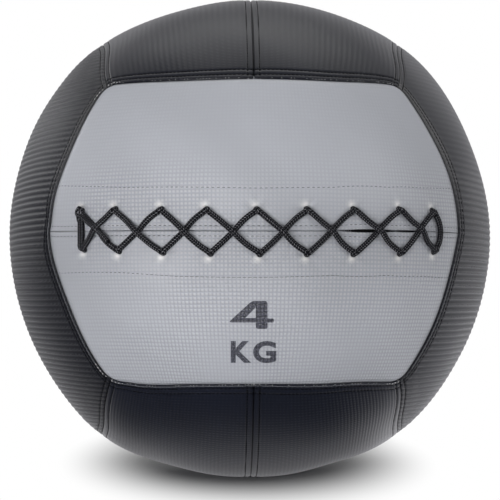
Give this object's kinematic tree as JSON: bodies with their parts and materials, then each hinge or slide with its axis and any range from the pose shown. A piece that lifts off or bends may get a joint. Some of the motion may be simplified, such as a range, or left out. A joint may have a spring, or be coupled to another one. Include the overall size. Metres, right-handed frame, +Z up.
{
  "type": "wall ball",
  "caption": "Soft weighted training ball: sewn grey and black cover panels over foam, a laced front slit, stuffing round a central weight bag.",
  "frame": {"origin": "on the floor under the middle of the bounding box, with the ball standing on its settled underside", "axes": "+Z up; the laced grey face looks along -Y, with its slit level; +X to the right of that face as seen from the front"},
  "size_m": [0.3496, 0.3588, 0.3471],
  "materials": {
    "grey_vinyl": "satin vinyl embossed with a woven look",
    "black_vinyl": "satin vinyl embossed with a woven look",
    "foam": "open-cell foam sheet",
    "canvas": "black canvas",
    "lace": "round braided lace",
    "liner_cloth": "plain woven cloth",
    "stuffing": "packed textile wadding",
    "bag_cloth": "close-woven cloth",
    "granules": "packed granules"
  },
  "bodies": {
    "root": {"cover_front_upper": "grey_vinyl", "cover_front_lower": "grey_vinyl", "cover_rear_upper": "grey_vinyl", "cover_rear_lower": "grey_vinyl", "cover_top_left": "black_vinyl", "cover_top_right": "black_vinyl", "cover_bottom_left": "black_vinyl", "cover_bottom_right": "black_vinyl", "cover_left_front": "black_vinyl", "cover_left_rear": "black_vinyl", "cover_right_front": "black_vinyl", "cover_right_rear": "black_vinyl", "foam_front_upper": "foam", "foam_front_lower": "foam", "foam_rear_upper": "foam", "foam_rear_lower": "foam", "foam_top_left": "foam", "foam_top_right": "foam", "foam_bottom_left": "foam", "foam_bottom_right": "foam", "foam_left_front": "foam", "foam_left_rear": "foam", "foam_right_front": "foam", "foam_right_rear": "foam", "lace_facing_upper": "canvas", "lace_facing_lower": "canvas", "placket": "canvas", "lace": "lace", "lace_knot": "lace", "liner": "liner_cloth", "stuffing_front": "stuffing", "stuffing_rear": "stuffing", "weight_bag": "bag_cloth", "weight_bag_tie": "lace", "weight_fill": "granules"}
  },
  "joints": []
}
